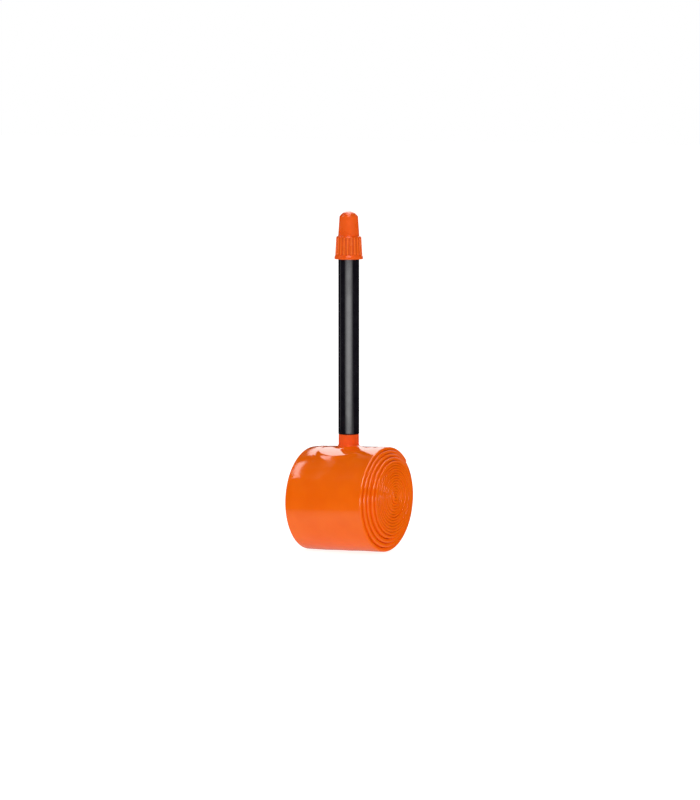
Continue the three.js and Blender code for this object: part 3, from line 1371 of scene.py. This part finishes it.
@dataclass(frozen=True)
class StageGlow(Finish):
    """The white cloth on the front of a softbox. It may dim towards its sides, or from its near
    edge to its far one, and the near edge may be soft."""

    radiance: float = 1.0
    size: Point = (100, 100)
    feathered: bool = False
    fade: Point = (1, 1)
    soft_edge: float = 0.0

    def shader(self, tree: bpy.types.NodeTree) -> bpy.types.Node:
        """Builds the cloth's shader.

        Args:
            tree: The material's empty node tree.

        Returns:
            The shader node.
        """
        half_width, half_height = (side * MM / 2 for side in self.size)
        place = add_node(tree, "ShaderNodeTexCoord").outputs["Object"]
        parts = add_node(tree, "ShaderNodeSeparateXYZ", None, {0: place})
        aside = add_node(
            tree, "ShaderNodeMath", {"operation": "ABSOLUTE"}, {0: parts.outputs[0]}
        ).outputs[0]
        side = 0 if self.feathered else self.radiance
        across = {0: aside, 1: 0.0, 2: half_width, 3: self.radiance, 4: side}
        smooth = {"interpolation_type": "SMOOTHSTEP"}
        strength = add_node(tree, "ShaderNodeMapRange", smooth, across).outputs[0]
        dimming = [(half_height, *self.fade)]
        if self.soft_edge:
            dimming.append((-half_height + self.soft_edge * MM, 0, 1))
        for end, near, far in dimming:
            along = {0: parts.outputs[1], 1: -half_height, 2: end, 3: near, 4: far}
            share = add_node(tree, "ShaderNodeMapRange", None, along).outputs[0]
            factors = {0: strength, 1: share}
            strength = add_node(
                tree, "ShaderNodeMath", {"operation": "MULTIPLY"}, factors
            ).outputs[0]
        glow = {"Color": (1, 1, 1, 1), "Strength": strength}
        return add_node(tree, "ShaderNodeEmission", None, glow)


@dataclass(frozen=True)
class Softbox:
    """A rectangular soft light that faces the object. One that lights isn't seen in reflections,
    and one that is mirrored only shows in reflections, so each can be set by itself."""

    name: str
    use: LightUse
    place: tuple[float, float, float]
    size: Point
    radiance: float
    aim: tuple[float, float, float] = (0, 0, 30)
    turn: float = 0.0
    flat: bool = False
    feathered: bool = False
    fade: Point = (1, 1)
    soft_edge: float = 0.0

    def build(self) -> None:
        """Builds the light. Its turn is about its own axis, and a flat one lies level."""
        lamp = self.lamp() if self.use is LightUse.LIGHTS else self.card()
        spot = Vector(self.place) * MM
        lamp.location = spot
        turned_by = Quaternion((0, 0, 1), math.radians(self.turn))
        if not self.flat:
            facing = (Vector(self.aim) * MM - spot).to_track_quat("-Z", "Y")
            turned_by = facing @ turned_by
        lamp.rotation_euler = turned_by.to_euler()

    def lamp(self) -> bpy.types.Object:
        """Builds an area lamp that reflections don't see.

        Returns:
            The lamp, facing down at the origin.
        """
        width, height = (side * MM for side in self.size)
        light = bpy.data.lights.new(self.name, "AREA")
        light.shape = "RECTANGLE"
        light.size = width
        light.size_y = height
        light.energy = self.radiance * math.pi * width * height
        lamp = bpy.data.objects.new(self.name, light)
        bpy.context.scene.collection.objects.link(lamp)
        lamp.visible_glossy = False
        return lamp

    def card(self) -> bpy.types.Object:
        """Builds a glowing card that only reflections see.

        Returns:
            The card, facing up and down at the origin.
        """
        bpy.ops.object.select_all(action="DESELECT")
        bpy.ops.mesh.primitive_plane_add(size=1)
        card = bpy.context.object
        card.name = self.name
        card.scale = (self.size[0] * MM, self.size[1] * MM, 1)
        bpy.ops.object.transform_apply(location=False, rotation=False, scale=True)
        name = self.name + "_cloth"
        cloth = StageGlow(
            name, self.radiance, self.size, self.feathered, self.fade, self.soft_edge
        )
        dress(card, cloth)
        card.data.materials[0].cycles.emission_sampling = "NONE"
        card.visible_camera = False
        card.visible_diffuse = False
        card.visible_shadow = False
        card.visible_transmission = False
        card.visible_volume_scatter = False
        return card


@dataclass
class Studio:
    """A white paper sweep, soft lights and the camera. Lengths are millimetres."""

    azimuth: float = 30.0
    distance: float = 1050.0
    eye_height: float = 145.0
    aim_height: float = 43.6
    aim_right: float = 0.35
    lens: float = 164.7
    sensor: float = 36.0
    sky_light: float = 0.64
    sky_mirrored: float = 0.012
    sky_seen: float = 1.0
    lights: tuple[Softbox, ...] = (
        # The two lamps that light the object, from the front left and from the right.
        Softbox("key_light", LightUse.LIGHTS, (-250, -700, 600), (900, 700), 0.8),
        Softbox("fill_light", LightUse.LIGHTS, (800, -250, 300), (600, 600), 1.25),
        # Mirrored by the roll's top, by its curled left edge, and by the cap's dome.
        Softbox(
            "back_softbox", LightUse.MIRRORED, (-194, 506, 313), (340, 700), 4.3, (106, 70, 35),
            turn=-28, fade=(0.15, 1),
        ),
        Softbox("left_softbox", LightUse.MIRRORED, (-438, -141, 522), (440, 80), 5.4, turn=-24),
        Softbox(
            "top_softbox", LightUse.MIRRORED, (0, 0, 550), (200, 1000), 7.0, turn=30, flat=True
        ),
        # Mirrored by the rounded edges of the turns at the coil's end.
        Softbox("front_softbox", LightUse.MIRRORED, (256, -443, 500), (420, 380), 8.0),
        # Mirrored by the stem as one soft upright stripe.
        Softbox(
            "stem_card", LightUse.MIRRORED, (150, -260, 33.5), (700, 71), 5.8, (0, 0, 33.5),
            feathered=True,
        ),
        # Mirrored by the lower left edge, by the roll's lower half and by the coil's lower half.
        Softbox("rim_card", LightUse.MIRRORED, (-290, -75, 60), (60, 110), 0.5, (0, 0, 60)),
        Softbox(
            "bounce_card", LightUse.MIRRORED, (0, -24, -1), (160, 78), 1.12,
            turn=-20, flat=True, fade=(1, 0.1), soft_edge=32,
        ),
        Softbox("table_card", LightUse.MIRRORED, (205, -155, -1.5), (370, 300), 0.8, flat=True),
    )

    def build_camera(self) -> None:
        """Builds the camera."""
        turn = math.radians(self.azimuth)
        eye = Vector((math.sin(turn), -math.cos(turn), 0)) * self.distance
        eye.z = self.eye_height
        aim = Vector((math.cos(turn), math.sin(turn), 0)) * self.aim_right
        aim.z = self.aim_height
        data = bpy.data.cameras.new("camera")
        data.lens = self.lens
        data.sensor_width = self.sensor
        data.clip_start = 0.01
        camera = bpy.data.objects.new("camera", data)
        bpy.context.scene.collection.objects.link(camera)
        camera.location = eye * MM
        camera.rotation_euler = (aim - eye).to_track_quat("-Z", "Y").to_euler()
        bpy.context.scene.camera = camera

    def build_world(self) -> None:
        """Builds the surroundings: white behind the object, dim in its reflections."""
        world = bpy.data.worlds.new("studio")
        bpy.context.scene.world = world
        world.use_nodes = True
        tree = world.node_tree
        tree.nodes.clear()
        path = add_node(tree, "ShaderNodeLightPath")
        shades = [
            add_node(tree, "ShaderNodeBackground", None, {"Color": (v, v, v, 1), "Strength": 1.0})
            for v in (self.sky_light, self.sky_mirrored, self.sky_seen)
        ]
        mirrored = {0: path.outputs["Is Glossy Ray"], 1: shades[0].outputs[0]}
        soft = add_node(tree, "ShaderNodeMixShader", None, {**mirrored, 2: shades[1].outputs[0]})
        seen = {0: path.outputs["Is Camera Ray"], 1: soft.outputs[0], 2: shades[2].outputs[0]}
        mixed = add_node(tree, "ShaderNodeMixShader", None, seen)
        add_node(tree, "ShaderNodeOutputWorld", None, {"Surface": mixed.outputs[0]})

    def build_floor(self) -> None:
        """Builds the paper floor."""
        bpy.ops.object.select_all(action="DESELECT")
        bpy.ops.mesh.primitive_plane_add(size=8)
        floor = bpy.context.object
        floor.name = "paper_floor"
        dress(floor, PAPER)
        floor.visible_glossy = False

    def build(self) -> None:
        """Builds everything that isn't the object."""
        bpy.context.scene.view_settings.view_transform = "Standard"
        self.build_camera()
        self.build_world()
        self.build_floor()
        for light in self.lights:
            light.build()


def main() -> None:
    """Builds the studio and the inner tube, piece by piece."""
    logging.basicConfig(level=logging.INFO, format="%(name)s: %(message)s")
    Studio().build()
    RolledTube().build()
    ValveNeck().build()
    ValveStem().build()
    ThreadedInsert().build()
    ValveCore().build()
    DustCap().build()


if __name__ == "__main__":
    main()
